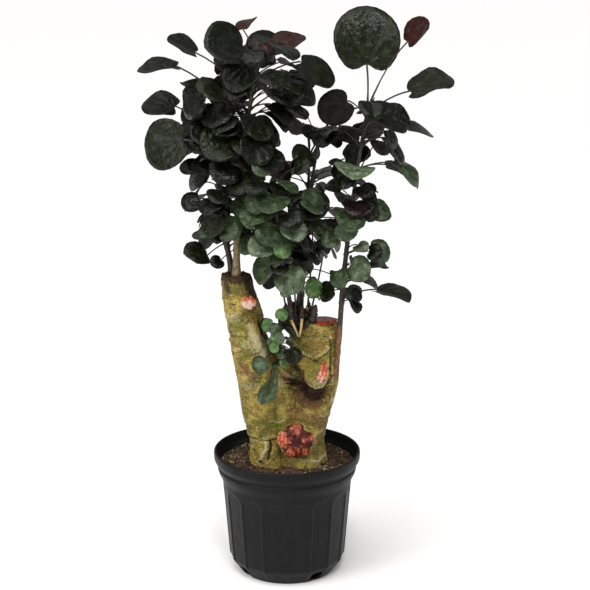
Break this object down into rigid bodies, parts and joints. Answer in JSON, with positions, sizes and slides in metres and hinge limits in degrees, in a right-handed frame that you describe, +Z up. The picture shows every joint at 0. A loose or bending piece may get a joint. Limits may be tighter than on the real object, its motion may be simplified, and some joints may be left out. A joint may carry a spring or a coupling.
{
  "type": "potted round-leaf aralia",
  "caption": "Round-leaved aralia grown from an old forked trunk cut off flat, with waxed cuts and upright leafy shoots, in a fluted nursery pot.",
  "frame": {"origin": "centre of the pot's flat underside, on the ground", "axes": "+Z up along the trunk and shoots, -Y towards the front, +X to the right as seen from the front"},
  "size_m": [0.5426, 0.3478, 1.0254],
  "materials": {
    "pot_plastic": "matte",
    "potting_soil": "rough",
    "bark": "rough",
    "sealing_wax": "satin",
    "shoot_bark": "satin",
    "foliage": "glossy leaves"
  },
  "bodies": {
    "root": {"pot": "pot_plastic", "soil": "potting_soil", "trunk": "bark", "limb_left": "bark", "limb_right": "bark", "wax_base": "sealing_wax", "wax_knob": "sealing_wax", "wax_left": "sealing_wax", "wax_top": "sealing_wax", "bough_left": "shoot_bark", "bough_rear_left": "shoot_bark", "bough_front": "shoot_bark", "bough_middle": "shoot_bark", "bough_rear": "shoot_bark", "bough_right": "shoot_bark", "bough_crotch": "shoot_bark", "foliage_left": "foliage", "foliage_rear_left": "foliage", "foliage_front": "foliage", "foliage_middle": "foliage", "foliage_rear": "foliage", "foliage_right": "foliage", "foliage_crotch": "foliage"}
  },
  "joints": []
}
